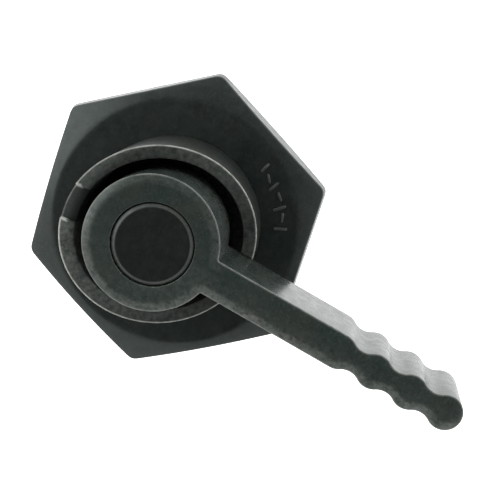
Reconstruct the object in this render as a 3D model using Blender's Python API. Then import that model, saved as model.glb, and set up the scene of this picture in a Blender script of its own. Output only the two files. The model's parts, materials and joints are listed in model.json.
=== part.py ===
"""A quarter-turn angle seacock: valve body, L-bored ball, hexagon bonnet, turning collar and lever.

Metres, +Z up. The origin is the centre of the inlet's bottom face, and Z is the axis of inlet and stem.
At rest the lever points along +X and the ball is shut. Turned by -90 degrees it points along the outlet, -Y.
"""

import math

import bmesh
import bpy
from mathutils import Matrix, Vector

MM = 0.001
GAP = 0.3 * MM

# Overall
HEIGHT = 150.0 * MM
LEVER_REACH = 100.0 * MM
BALL_HEIGHT = 60.0 * MM
BALL_RADIUS = 20.0 * MM
FLOW_RADIUS = 9.5 * MM
THROAT_RADIUS = FLOW_RADIUS + 0.3 * MM
SEAT_SPHERE = BALL_RADIUS + 0.35 * MM

# Lever
LEVER_DEPTH = 24.0 * MM
ARM_HALF_WIDTH = 5.25 * MM
HUB_RADIUS = 19.7 * MM
HUB_SETBACK = 0.64 * MM
GRIP_PITCH = 11.5 * MM
GRIP_BUMPS = 3
VALLEY_HALF_WIDTH = 3.5 * MM
ARM_FILLET = 0.7 * MM
CROWN_ROUNDING = 1.4 * MM
CAP_RADIUS = 12.0 * MM
CAP_SEAT = HEIGHT - 3.6 * MM
POCKET_RADIUS = 8.4 * MM
SCREW_FLOOR = HEIGHT - 14.0 * MM
SOCKET_TOP = HEIGHT - 20.0 * MM

# Turning collar
COLLAR_RADIUS = 27.3 * MM
COLLAR_WALL = 4.0 * MM
COLLAR_FLOOR = 4.9 * MM
RIM_MID_HEIGHT = HEIGHT - 12.5 * MM
RIM_SLOPE = math.radians(22.6)
RIM_CONE = math.tan(math.radians(12))
BACK_NOTCH_WIDTH = 10.8 * MM
BACK_NOTCH_OFFSET = 1.5 * MM
BACK_NOTCH_DEPTH = 1.6 * MM

# Bonnet
BONNET_TOP = HEIGHT - 36.25 * MM
HEX_THICKNESS = 10.5 * MM
HEX_ACROSS_FLATS = 83.3 * MM
HEX_CORNER_RADIUS = 3.2 * MM
HEX_TURN = math.radians(11.6)
HEX_FACE_RADIUS = 38.5 * MM
HEX_CHAMFER = math.radians(20)
HEX_DRAFT = math.tan(math.radians(3))
SPIGOT_RADIUS = 27.0 * MM
SPIGOT_BOTTOM = 85.55 * MM
BONNET_RING_HEIGHT = 93.3 * MM
RUNNING_BORE = 7.4 * MM
BUSH_BORE = 10.3 * MM
BUSH_FLOOR = 99.7 * MM
SHOULDER_BORE = 10.2 * MM
SHOULDER_CEILING = 89.5 * MM
STOP_PIN_RADIUS = 1.8 * MM
STOP_PIN_PITCH = 19.5 * MM
STOP_PIN_ANGLE = math.radians(135)
STOP_PIN_BOTTOM = BONNET_TOP - 7.5 * MM

# Stem
STEM_RADIUS = 7.0 * MM
SQUARE = 9.6 * MM
SQUARE_CLEAR = SQUARE + 2 * GAP
TANG_WIDTH = 12.0 * MM
TANG_THICKNESS = 5.0 * MM
GROOVE_RADIUS = 5.2 * MM
STEM_RING_HEIGHTS = (92.0 * MM, 96.0 * MM)
TAPPING_BOTTOM = HEIGHT - 35.0 * MM

# Body
INLET_THREAD_RADIUS = 15.2 * MM
INLET_DEPTH = 19.0 * MM
INLET_ACROSS_FLATS = 46.0 * MM
INLET_HEX_HEIGHT = 20.0 * MM
BARREL_RADIUS = 29.5 * MM
NECK_RADIUS = 34.0 * MM
NECK_BOTTOM = 87.0 * MM
RIB_ANGLES = (30, 75, 125, 225, 320)
NECK_TOP = BONNET_TOP - HEX_THICKNESS - GAP
CHAMBER_RADIUS = 20.8 * MM
CHAMBER_TOP = 85.2 * MM
SIDE_BOSS_REACH = 31.0 * MM
SIDE_BOSS_RADIUS = 21.2 * MM
SEAT_RADIUS = 13.8 * MM
SEAT_BACK = 21.7 * MM
DRAIN_BOSS_REACH = 32.8 * MM
LOCK_SCREW_ANGLE = math.radians(200)

# Outlet connector
PORT_REACH = 48.0 * MM
PORT_RADIUS = 20.0 * MM
OUTLET_DEPTH = 15.5 * MM
CONNECTOR_RADIUS = 17.0 * MM
CONNECTOR_GROOVE = 28.0 * MM
GROOVE_HALF_WIDTH = 1.1 * MM
CONNECTOR_HEX_END = 41.0 * MM
OUTLET_ACROSS_FLATS = 2 * PORT_RADIUS + GAP

ROUND = 64
PLAIN = 40
SMALL = 24


def clear_scene():
    for obj in list(bpy.data.objects):
        bpy.data.objects.remove(obj, do_unlink=True)


def material(name, colour, roughness, metallic=0.0):
    made = bpy.data.materials.new(name)
    made.use_nodes = True
    shader = made.node_tree.nodes["Principled BSDF"]
    shader.inputs["Base Color"].default_value = (*colour, 1.0)
    shader.inputs["Roughness"].default_value = roughness
    shader.inputs["Metallic"].default_value = metallic
    return made


def new_object(name, bm, colour=None):
    """The bmesh as a scene object. One with no material is a cutter, which the build leaves out."""
    bmesh.ops.remove_doubles(bm, verts=bm.verts, dist=1e-7)
    bmesh.ops.recalc_face_normals(bm, faces=bm.faces)
    mesh = bpy.data.meshes.new(name)
    bm.to_mesh(mesh)
    bm.free()
    obj = bpy.data.objects.new(name, mesh)
    bpy.context.scene.collection.objects.link(obj)
    if colour is None:
        obj.hide_render = True
        obj.display_type = "WIRE"
    else:
        mesh.materials.append(colour)
    return obj


def lathe(profile, steps=PLAIN):
    """A closed body turned about Z from (radius, height) points. Ends on the axis need no closing edge."""
    bm = bmesh.new()
    points = [bm.verts.new((radius, 0, height)) for radius, height in profile]
    edges = [bm.edges.new(pair) for pair in zip(points, points[1:])]
    if profile[0][0] > 0 or profile[-1][0] > 0:
        edges.append(bm.edges.new((points[-1], points[0])))
    whole_turn = 2 * math.pi
    axis = (0, 0, 1)
    bmesh.ops.spin(bm, geom=points + edges, axis=axis, angle=whole_turn, steps=steps, use_merge=True)
    return bm


def loft(loops):
    """A closed body through loops of equally many points, with a flat face on the first and the last."""
    bm = bmesh.new()
    rows = [[bm.verts.new(point) for point in loop] for loop in loops]
    for low, high in zip(rows, rows[1:]):
        for i in range(len(low)):
            j = (i + 1) % len(low)
            bm.faces.new((low[i], low[j], high[j], high[i]))
    bm.faces.new(rows[0])
    bm.faces.new(rows[-1])
    return bm


def prism(outline, low, high):
    return loft([[(x, y, z) for x, y in outline] for z in (low, high)])


def arc(centre, radius, start, end, steps):
    """Points on an arc, the last one left out."""
    for i in range(steps):
        angle = start + (end - start) * i / steps
        yield centre[0] + radius * math.cos(angle), centre[1] + radius * math.sin(angle)


def hexagon(across_flats, corner_radius, turn=0.0, steps=5):
    """Outline with a flat facing the angle turn, and rounded corners."""
    inner = (across_flats / 2 - corner_radius) / math.cos(math.pi / 6)
    points = []
    for corner in range(6):
        middle = turn + math.pi / 6 + corner * math.pi / 3
        centre = (inner * math.cos(middle), inner * math.sin(middle))
        half = math.pi / 6
        points += arc(centre, corner_radius, middle - half, middle + half, steps)
        end = middle + half
        points.append((centre[0] + corner_radius * math.cos(end), centre[1] + corner_radius * math.sin(end)))
    return points


def rectangle(low_x, high_x, low_y, high_y):
    return [(low_x, low_y), (high_x, low_y), (high_x, high_y), (low_x, high_y)]


def square(side):
    return rectangle(-side / 2, side / 2, -side / 2, side / 2)


def sector(inner, outer, start, end, steps=20):
    """Outline of a ring's stretch from one angle to another."""
    points = list(arc((0, 0), outer, start, end, steps))
    points.append((outer * math.cos(end), outer * math.sin(end)))
    points += arc((0, 0), inner, end, start, steps)
    points.append((inner * math.cos(start), inner * math.sin(start)))
    return points


def cylinder(radius, low, high, steps=SMALL):
    return lathe([(0, low), (radius, low), (radius, high), (0, high)], steps)


def place(obj, matrix):
    obj.data.transform(matrix)
    return obj


def radially(angle, height):
    """Turns a body built along +Z to lie along the horizontal direction at this angle and height."""
    outward = Matrix.Rotation(angle, 4, "Z") @ Matrix.Rotation(math.pi / 2, 4, "Y")
    return Matrix.Translation((0, 0, height)) @ outward


def below_ball():
    """Turns a body built along +Z from the ball's centre so that it lies along -Z from there."""
    return Matrix.Translation((0, 0, BALL_HEIGHT)) @ Matrix.Rotation(math.pi, 4, "X")


def combine(obj, other, operation):
    modifier = obj.modifiers.new(f"{operation.lower()} {other.name}", "BOOLEAN")
    modifier.operation = operation
    modifier.solver = "EXACT"
    modifier.object = other
    other.hide_render = True
    other.display_type = "WIRE"


def cut(obj, other):
    combine(obj, other, "DIFFERENCE")


def finish_shading(obj, sharp=math.radians(32)):
    """Applies the Booleans, then shades round stretches smooth."""
    bpy.context.view_layer.update()
    evaluated = obj.evaluated_get(bpy.context.evaluated_depsgraph_get())
    mesh = bpy.data.meshes.new_from_object(evaluated)
    obj.modifiers.clear()
    obj.data = mesh
    mesh.shade_smooth()
    mesh.set_sharp_from_angle(angle=sharp)
    return obj


def ring(name, inner, outer, low, high, colour):
    profile = [(inner, low), (outer, low), (outer, high), (inner, high)]
    return finish_shading(new_object(name, lathe(profile, SMALL), colour))


def o_ring(name, centre_radius, section_radius, height, colour, steps=SMALL):
    profile = list(arc((centre_radius, height), section_radius, 0, 2 * math.pi, 8))
    return finish_shading(new_object(name, lathe(profile, steps), colour))


# ---- the moving pieces -------------------------------------------------------------------------------------


def lever_outline(inset):
    """Hub, straight arm and scalloped grip. Every arc keeps its centre, so an inset runs parallel."""
    half = GRIP_PITCH / 2
    # The valley's circle touches the bumps on both sides, and comes this near the arm's centreline.
    depth = ARM_HALF_WIDTH - VALLEY_HALF_WIDTH
    valley_radius = (half**2 + VALLEY_HALF_WIDTH**2 - ARM_HALF_WIDTH**2) / (2 * depth)
    valley_offset = VALLEY_HALF_WIDTH + valley_radius
    lean = math.atan2(valley_offset, half)
    tip = LEVER_REACH - ARM_HALF_WIDTH
    bump = ARM_HALF_WIDTH - inset
    side = list(arc((tip, 0), bump, 0, math.pi - lean, 9))
    for i in range(GRIP_BUMPS):
        valley = (tip - (i + 0.5) * GRIP_PITCH, valley_offset)
        side += arc(valley, valley_radius + inset, -lean, lean - math.pi, 5)
        last = i == GRIP_BUMPS - 1
        end = math.pi / 2 if last else math.pi - lean
        side += arc((tip - (i + 1) * GRIP_PITCH, 0), bump, lean, end, 4)
    fillet_offset = ARM_HALF_WIDTH + ARM_FILLET
    fillet_reach = math.sqrt((HUB_RADIUS + ARM_FILLET) ** 2 - fillet_offset**2)
    meeting = math.atan2(fillet_offset, fillet_reach)
    fillet = (fillet_reach - HUB_SETBACK, fillet_offset)
    side += arc(fillet, ARM_FILLET + inset, -math.pi / 2, meeting - math.pi, 4)
    side += arc((-HUB_SETBACK, 0), HUB_RADIUS - inset, meeting, math.pi, 30)
    rear = (-HUB_SETBACK - HUB_RADIUS + inset, 0)
    return side + [rear] + [(x, -y) for x, y in reversed(side[1:])]


def lever_loops():
    """The outline from the arm's underside to its face, with rounded edges."""
    underside = HEIGHT - LEVER_DEPTH
    under_edge = 0.5 * MM
    steps = 4
    loops = [(underside, under_edge), (underside + under_edge, 0.0)]
    for i in range(steps + 1):
        turn = math.pi / 2 * i / steps
        height = HEIGHT - CROWN_ROUNDING * (1 - math.sin(turn))
        loops.append((height, CROWN_ROUNDING * (1 - math.cos(turn))))
    return [[(x, y, z) for x, y in lever_outline(inset)] for z, inset in loops]


def make_lever(colour):
    lever = new_object("lever", loft(lever_loops()), colour)
    skirt_bottom = BONNET_TOP + COLLAR_FLOOR + GAP + 0.35 * MM
    skirt_radius = HUB_RADIUS - 1.0 * MM
    skirt = new_object("lever_skirt", cylinder(skirt_radius, skirt_bottom, SCREW_FLOOR - 4 * MM, ROUND))
    place(skirt, Matrix.Translation((-HUB_SETBACK, 0, 0)))
    combine(lever, skirt, "UNION")
    recess = CAP_RADIUS + GAP
    screw_hole = 3.4 * MM
    hollow = [
        (0, SOCKET_TOP - MM),
        (screw_hole, SOCKET_TOP - MM),
        (screw_hole, SCREW_FLOOR),
        (POCKET_RADIUS, SCREW_FLOOR),
        (POCKET_RADIUS, CAP_SEAT),
        (recess, CAP_SEAT),
        (recess, HEIGHT + MM),
        (0, HEIGHT + MM),
    ]
    cut(lever, new_object("lever_hollow", lathe(hollow, PLAIN)))
    cut(lever, new_object("lever_socket", prism(square(SQUARE_CLEAR), skirt_bottom - MM, SOCKET_TOP)))
    return finish_shading(lever)


def make_cap(colour):
    """Press-in plug: a disc with a rounded edge, and a hollow skirt that grips the pocket."""
    edge = 1.2 * MM
    ceiling = HEIGHT - 2.2 * MM
    disc_bottom = CAP_SEAT + GAP
    skirt_bottom = disc_bottom - 3.5 * MM
    inner = 6.6 * MM
    outer = POCKET_RADIUS - 0.4 * MM
    profile = [
        (0, ceiling),
        (inner, ceiling),
        (inner, skirt_bottom),
        (outer, skirt_bottom),
        (outer, disc_bottom),
        (CAP_RADIUS, disc_bottom),
    ]
    for i in range(6):
        turn = math.pi / 2 * i / 5
        profile.append((CAP_RADIUS - edge * (1 - math.cos(turn)), HEIGHT - edge * (1 - math.sin(turn))))
    profile.append((0, HEIGHT))
    return finish_shading(new_object("cap_plug", lathe(profile, PLAIN), colour))


def make_lever_screw(colour):
    under_head = SCREW_FLOOR + 1.85 * MM
    head_top = under_head + 3.6 * MM
    head = 5.6 * MM
    shank = 2.5 * MM
    foot = TAPPING_BOTTOM + MM
    profile = [
        (0, foot),
        (shank, foot),
        (shank, under_head),
        (head, under_head),
        (head, head_top - MM),
        (head - MM, head_top),
        (0, head_top),
    ]
    screw = new_object("lever_screw", lathe(profile), colour)
    key = prism(hexagon(4 * MM, 0.1 * MM, 0, 1), head_top - 2.2 * MM, head_top + MM)
    cut(screw, new_object("lever_screw_key", key))
    return finish_shading(screw)


def make_collar(colour):
    """A cup round the hub. Its rim falls towards the arm, and a little towards the inside all round."""
    bottom = BONNET_TOP + GAP + 0.05 * MM
    floor = bottom + COLLAR_FLOOR
    inner = COLLAR_RADIUS - COLLAR_WALL
    edge = 0.4 * MM
    fillet = 1.2 * MM
    inner_height = RIM_MID_HEIGHT - COLLAR_WALL * RIM_CONE
    profile = [
        (0, bottom),
        (COLLAR_RADIUS, bottom),
        (COLLAR_RADIUS, RIM_MID_HEIGHT - edge),
        (COLLAR_RADIUS - 0.3 * edge, RIM_MID_HEIGHT - 0.3 * edge),
        (COLLAR_RADIUS - edge, RIM_MID_HEIGHT),
        (inner + edge, inner_height),
        (inner + 0.3 * edge, inner_height - 0.3 * edge),
        (inner, inner_height - edge),
        (inner, floor + fillet),
        (inner - fillet, floor),
        (0, floor),
    ]
    bm = lathe(profile, ROUND)
    for vert in bm.verts:
        if vert.co.z > inner_height - 2 * edge:
            vert.co.z -= vert.co.x * math.tan(RIM_SLOPE)
    collar = new_object("turning_collar", bm, colour)
    cut(collar, new_object("collar_square", prism(square(SQUARE_CLEAR), bottom - MM, floor + MM)))

    # The arm lies in a saddle at the low side.
    half = ARM_HALF_WIDTH + GAP
    saddle = rectangle(inner - 6 * MM, COLLAR_RADIUS + 6 * MM, -half, half)
    cut(collar, new_object("collar_saddle", prism(saddle, HEIGHT - LEVER_DEPTH - GAP, HEIGHT)))

    # A shallow notch as wide as the arm lies opposite, a little towards -Y, in the rim's own plane.
    half_notch = BACK_NOTCH_WIDTH / 2
    notch_outline = rectangle(-8 * MM, 8 * MM, -half_notch, half_notch)
    notch = new_object("collar_notch", prism(notch_outline, -BACK_NOTCH_DEPTH, 6 * MM))
    middle = COLLAR_RADIUS - COLLAR_WALL / 2
    tilt = Matrix.Rotation(RIM_SLOPE, 4, "Y")
    rim_there = RIM_MID_HEIGHT + middle * math.tan(RIM_SLOPE)
    place(notch, Matrix.Translation((-middle, -BACK_NOTCH_OFFSET, rim_there)) @ tilt)
    cut(collar, notch)

    # The stop pin runs in a blind slot under the floor, a quarter turn long.
    half_slot = STOP_PIN_RADIUS + 0.4 * MM
    spare = half_slot / STOP_PIN_PITCH
    slot = sector(
        STOP_PIN_PITCH - half_slot,
        STOP_PIN_PITCH + half_slot,
        STOP_PIN_ANGLE - spare,
        STOP_PIN_ANGLE + math.pi / 2 + spare,
    )
    cut(collar, new_object("collar_slot", prism(slot, bottom - MM, bottom + 3.6 * MM)))
    return finish_shading(collar)


def make_stem(colour):
    shoulder_radius = SHOULDER_BORE - 0.4 * MM
    shoulder_low = CHAMBER_TOP - 0.7 * MM
    shoulder_high = SHOULDER_CEILING - 1.5 * MM
    square_bottom = BONNET_TOP + 0.1 * MM
    profile = [(0, shoulder_low), (shoulder_radius, shoulder_low), (shoulder_radius, shoulder_high)]
    profile.append((STEM_RADIUS, shoulder_high))
    for height in STEM_RING_HEIGHTS:
        profile += [
            (STEM_RADIUS, height - GROOVE_HALF_WIDTH),
            (GROOVE_RADIUS, height - GROOVE_HALF_WIDTH),
            (GROOVE_RADIUS, height + GROOVE_HALF_WIDTH),
            (STEM_RADIUS, height + GROOVE_HALF_WIDTH),
        ]
    profile += [(STEM_RADIUS, square_bottom), (0, square_bottom)]
    stem = new_object("stem", lathe(profile, 28), colour)
    head = new_object("stem_square", prism(square(SQUARE), square_bottom - MM, SOCKET_TOP - GAP))
    combine(stem, head, "UNION")
    tang_bottom = BALL_HEIGHT + BALL_RADIUS - 3.8 * MM
    width, thickness = TANG_WIDTH / 2, TANG_THICKNESS / 2
    tang = rectangle(-width, width, -thickness, thickness)
    combine(stem, new_object("stem_tang", prism(tang, tang_bottom, shoulder_low + MM)), "UNION")
    cut(stem, new_object("stem_tapping", cylinder(2.8 * MM, TAPPING_BOTTOM, SOCKET_TOP + MM)))
    return finish_shading(stem)


def make_ball(colour):
    """The flow turns through a right angle in the ball, and the tang drives it by a slot on top."""
    rows = 16
    turns = [-math.pi / 2 + math.pi * i / rows for i in range(rows + 1)]
    profile = [(max(0.0, BALL_RADIUS * math.cos(a)), BALL_RADIUS * math.sin(a)) for a in turns]
    profile[0] = (0, -BALL_RADIUS)
    profile[-1] = (0, BALL_RADIUS)
    ball = new_object("ball", lathe(profile, 32), colour)
    bore = [(0, -BALL_RADIUS - MM), (FLOW_RADIUS, -BALL_RADIUS - MM)]
    bore += arc((0, 0), FLOW_RADIUS, 0, math.pi / 2, 4)
    bore.append((0, FLOW_RADIUS))
    inlet_bore = new_object("ball_inlet_bore", lathe(bore, SMALL))
    side_bore = new_object("ball_side_bore", cylinder(FLOW_RADIUS - 0.3 * MM, 0, BALL_RADIUS + MM))
    place(side_bore, radially(0, 0))
    slot_depth = 4.1 * MM
    width, thickness = TANG_WIDTH / 2 + 0.4 * MM, TANG_THICKNESS / 2 + GAP
    slot = rectangle(-width, width, -thickness, thickness)
    tang_slot = new_object("ball_slot", prism(slot, BALL_RADIUS - slot_depth, BALL_RADIUS + MM))
    for piece in (ball, inlet_bore, side_bore, tang_slot):
        place(piece, Matrix.Translation((0, 0, BALL_HEIGHT)))
    for cutter in (inlet_bore, side_bore, tang_slot):
        cut(ball, cutter)
    return finish_shading(ball)


# ---- the fixed pieces --------------------------------------------------------------------------------------


def make_bonnet(colour):
    """Hexagon and spigot in one: a turned blank cut to its hexagon."""
    blank = 50.0 * MM
    hex_bottom = BONNET_TOP - HEX_THICKNESS
    groove_low, groove_high = BONNET_RING_HEIGHT - 1.3 * MM, BONNET_RING_HEIGHT + 1.3 * MM
    groove_radius = 24.6 * MM
    washer_recess = (15.4 * MM, BONNET_TOP - MM)
    edge = 0.8 * MM
    profile = [
        (SHOULDER_BORE, SPIGOT_BOTTOM),
        (SPIGOT_RADIUS - edge, SPIGOT_BOTTOM),
        (SPIGOT_RADIUS, SPIGOT_BOTTOM + edge),
        (SPIGOT_RADIUS, groove_low),
        (groove_radius, groove_low),
        (groove_radius, groove_high),
        (SPIGOT_RADIUS, groove_high),
        (SPIGOT_RADIUS, hex_bottom),
        (HEX_FACE_RADIUS + 4 * MM, hex_bottom),
        (blank, hex_bottom + 2 * MM),
        (blank, BONNET_TOP - (blank - HEX_FACE_RADIUS) * math.tan(HEX_CHAMFER)),
        (HEX_FACE_RADIUS, BONNET_TOP),
        (washer_recess[0], BONNET_TOP),
        washer_recess,
        (BUSH_BORE, washer_recess[1]),
        (BUSH_BORE, BUSH_FLOOR),
        (RUNNING_BORE, BUSH_FLOOR),
        (RUNNING_BORE, SHOULDER_CEILING),
        (SHOULDER_BORE, SHOULDER_CEILING),
    ]
    bonnet = new_object("bonnet_nut", lathe(profile, ROUND), colour)
    sides = []
    for height in (SPIGOT_BOTTOM - MM, BONNET_TOP + MM):
        across_flats = HEX_ACROSS_FLATS + 2 * (BONNET_TOP - height) * HEX_DRAFT
        sides.append([(x, y, height) for x, y in hexagon(across_flats, HEX_CORNER_RADIUS, HEX_TURN)])
    combine(bonnet, new_object("bonnet_hexagon", loft(sides)), "INTERSECT")
    pin_hole = new_object("bonnet_pin_hole", cylinder(STOP_PIN_RADIUS + GAP, STOP_PIN_BOTTOM - GAP, HEIGHT))
    cut(bonnet, place(pin_hole, Matrix.Translation(stop_pin_place())))
    return finish_shading(bonnet, math.radians(14))


def stop_pin_place():
    return Vector((math.cos(STOP_PIN_ANGLE), math.sin(STOP_PIN_ANGLE), 0)) * STOP_PIN_PITCH


def make_stop_pin(colour):
    pin = cylinder(STOP_PIN_RADIUS, STOP_PIN_BOTTOM, BONNET_TOP + 3.5 * MM, 20)
    obj = new_object("stop_pin", pin, colour)
    return finish_shading(place(obj, Matrix.Translation(stop_pin_place())))


def make_seat(name, colour):
    """Ring below the ball, with a spherical face."""
    profile = [(THROAT_RADIUS, -SEAT_BACK), (SEAT_RADIUS, -SEAT_BACK)]
    steps = 3
    for i in range(steps + 1):
        radius = SEAT_RADIUS + (THROAT_RADIUS - SEAT_RADIUS) * i / steps
        profile.append((radius, -math.sqrt(SEAT_SPHERE**2 - radius**2)))
    return new_object(name, lathe(profile, 32), colour)


def make_lower_seat(colour):
    seat = make_seat("lower_seat", colour)
    return finish_shading(place(seat, Matrix.Translation((0, 0, BALL_HEIGHT))))


def make_outlet_seat(colour):
    seat = make_seat("outlet_seat", colour)
    towards_outlet = Matrix.Rotation(-math.pi / 2, 4, "X")
    return finish_shading(place(seat, Matrix.Translation((0, 0, BALL_HEIGHT)) @ towards_outlet))


def make_upper_seat(colour):
    outer = CHAMBER_RADIUS - 0.4 * MM
    flat = 14.3 * MM
    start = math.sqrt(SEAT_SPHERE**2 - flat**2)
    steps = 3
    profile = [(SHOULDER_BORE, CHAMBER_TOP), (outer, CHAMBER_TOP), (outer, BALL_HEIGHT + flat)]
    for i in range(steps + 1):
        radius = start + (SHOULDER_BORE - start) * i / steps
        profile.append((radius, BALL_HEIGHT + math.sqrt(SEAT_SPHERE**2 - radius**2)))
    return finish_shading(new_object("upper_seat", lathe(profile, 32), colour))


def make_connector(name, colour, across_flats, back, hex_end, reach, depth):
    """Screwed end piece along +Z from the ball's centre. It holds a seat and takes a fitting's thread."""
    front = SEAT_BACK + 0.35 * MM
    thread_end = reach - depth
    shank = CONNECTOR_RADIUS - GAP
    groove_floor = shank - 1.4 * MM
    rim = 0.8 * MM
    chamfer = 1.6 * MM
    corner = across_flats / math.sqrt(3)
    profile = [
        (THROAT_RADIUS, front),
        (shank, front),
        (shank, CONNECTOR_GROOVE - GROOVE_HALF_WIDTH),
        (groove_floor, CONNECTOR_GROOVE - GROOVE_HALF_WIDTH),
        (groove_floor, CONNECTOR_GROOVE + GROOVE_HALF_WIDTH),
        (shank, CONNECTOR_GROOVE + GROOVE_HALF_WIDTH),
        (shank, back),
        (corner - 1.5 * chamfer, back),
        (corner, back + chamfer),
        (corner, hex_end - chamfer),
        (corner - 1.5 * chamfer, hex_end),
    ]
    if hex_end < reach:
        profile += [(PORT_RADIUS, hex_end), (PORT_RADIUS, reach - rim), (PORT_RADIUS - rim, reach)]
    profile += [
        (INLET_THREAD_RADIUS + 1.5 * MM, reach),
        (INLET_THREAD_RADIUS, reach - 1.5 * MM),
        (INLET_THREAD_RADIUS, thread_end),
        (THROAT_RADIUS, thread_end),
    ]
    connector = new_object(name, lathe(profile, PLAIN), colour)
    flats = prism(hexagon(across_flats, MM, 0, 2), front - MM, reach + MM)
    combine(connector, new_object("connector_flats", flats), "INTERSECT")
    return finish_shading(connector)


def make_inlet_connector(colour):
    back = BALL_HEIGHT - INLET_HEX_HEIGHT
    sizes = (INLET_ACROSS_FLATS, back, BALL_HEIGHT, BALL_HEIGHT, INLET_DEPTH)
    return place(make_connector("inlet_connector", colour, *sizes), below_ball())


def make_outlet_connector(colour):
    back = SIDE_BOSS_REACH + GAP
    sizes = (OUTLET_ACROSS_FLATS, back, CONNECTOR_HEX_END, PORT_REACH, OUTLET_DEPTH)
    return place(make_connector("outlet_connector", colour, *sizes), radially(-math.pi / 2, BALL_HEIGHT))


def make_connector_ring(name, colour, matrix):
    return place(o_ring(name, CONNECTOR_RADIUS - 0.85 * MM, 0.7 * MM, CONNECTOR_GROOVE, colour, 32), matrix)


def make_body(colour):
    """Barrel, neck and ribs, open below for the inlet connector, with the outlet's boss at the side."""
    base_radius = 24.0 * MM
    bottom = INLET_HEX_HEIGHT + GAP
    rim = 0.8 * MM
    profile = [
        (0, bottom),
        (base_radius - rim, bottom),
        (base_radius, bottom + rim),
        (base_radius, bottom + 4 * MM),
        (BARREL_RADIUS, bottom + 14 * MM),
        (BARREL_RADIUS, NECK_BOTTOM - 3 * MM),
        (NECK_RADIUS, NECK_BOTTOM),
        (NECK_RADIUS, NECK_TOP - rim),
        (NECK_RADIUS - rim, NECK_TOP),
        (0, NECK_TOP),
    ]
    body = new_object("valve_body", lathe(profile, PLAIN), colour)

    boss = [(0, 20 * MM), (SIDE_BOSS_RADIUS, 20 * MM), (SIDE_BOSS_RADIUS, SIDE_BOSS_REACH - rim)]
    boss += [(SIDE_BOSS_RADIUS - rim, SIDE_BOSS_REACH), (0, SIDE_BOSS_REACH)]
    port = new_object("port_boss", lathe(boss, PLAIN))
    combine(body, place(port, radially(-math.pi / 2, BALL_HEIGHT)), "UNION")

    drain = new_object("drain_boss", cylinder(8 * MM, 22 * MM, DRAIN_BOSS_REACH))
    combine(body, place(drain, radially(math.pi, BALL_HEIGHT)), "UNION")

    rib_outline = rectangle(15 * MM, NECK_RADIUS - 1.2 * MM, -2 * MM, 2 * MM)
    for index, degrees in enumerate(RIB_ANGLES):
        rib = new_object(f"rib_{index}", prism(rib_outline, 36 * MM, 90 * MM))
        combine(body, place(rib, Matrix.Rotation(math.radians(degrees), 4, "Z")), "UNION")

    seat_bore = SEAT_RADIUS + GAP
    seat_ledge = SEAT_BACK + GAP / 2
    chamber_floor = BALL_HEIGHT - 17 * MM
    hollow = [
        (0, bottom - MM),
        (CONNECTOR_RADIUS, bottom - MM),
        (CONNECTOR_RADIUS, BALL_HEIGHT - seat_ledge),
        (seat_bore, BALL_HEIGHT - seat_ledge),
        (seat_bore, chamber_floor),
        (CHAMBER_RADIUS, chamber_floor),
        (CHAMBER_RADIUS, CHAMBER_TOP),
        (SPIGOT_RADIUS + 0.4 * MM, CHAMBER_TOP),
        (SPIGOT_RADIUS + 0.4 * MM, NECK_TOP + MM),
        (0, NECK_TOP + MM),
    ]
    cut(body, new_object("body_hollow", lathe(hollow, 40)))

    outlet = [
        (0, 12 * MM),
        (seat_bore, 12 * MM),
        (seat_bore, seat_ledge),
        (CONNECTOR_RADIUS, seat_ledge),
        (CONNECTOR_RADIUS, SIDE_BOSS_REACH + MM),
        (0, SIDE_BOSS_REACH + MM),
    ]
    outlet_hollow = new_object("outlet_hollow", lathe(outlet, 40))
    cut(body, place(outlet_hollow, radially(-math.pi / 2, BALL_HEIGHT)))

    drain_hole = new_object("drain_hole", cylinder(4 * MM, 18 * MM, DRAIN_BOSS_REACH + MM))
    cut(body, place(drain_hole, radially(math.pi, BALL_HEIGHT)))
    screw_hole = new_object("lock_hole", cylinder(2.3 * MM, SPIGOT_RADIUS, NECK_RADIUS + MM, 20))
    cut(body, place(screw_hole, radially(LOCK_SCREW_ANGLE, lock_screw_height())))
    return finish_shading(body)


def lock_screw_height():
    return (NECK_BOTTOM + NECK_TOP) / 2 + 2 * MM


def make_lock_screw(colour):
    top = NECK_RADIUS - MM
    screw = new_object("bonnet_lock_screw", cylinder(2.0 * MM, SPIGOT_RADIUS + MM, top, 20), colour)
    key = new_object("lock_screw_key", prism(hexagon(2 * MM, 0.05 * MM, 0, 1), top - 1.5 * MM, top + MM))
    for piece in (screw, key):
        place(piece, radially(LOCK_SCREW_ANGLE, lock_screw_height()))
    cut(screw, key)
    return finish_shading(screw)


def make_drain_plug(colour):
    washer_room = 1.5 * MM
    head_low = DRAIN_BOSS_REACH + washer_room
    head_high = head_low + 4.2 * MM
    head = new_object("drain_plug", prism(hexagon(11 * MM, 0.4 * MM, 0, 2), head_low, head_high), colour)
    shank = new_object("drain_shank", cylinder(3.6 * MM, 24 * MM, head_low + MM))
    for piece in (head, shank):
        place(piece, radially(math.pi, BALL_HEIGHT))
    combine(head, shank, "UNION")
    return finish_shading(head)


def make_drain_washer(colour):
    low = DRAIN_BOSS_REACH + GAP
    washer = ring("drain_plug_washer", 3.95 * MM, 6.4 * MM, low, low + 0.9 * MM, colour)
    return place(washer, radially(math.pi, BALL_HEIGHT))


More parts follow.
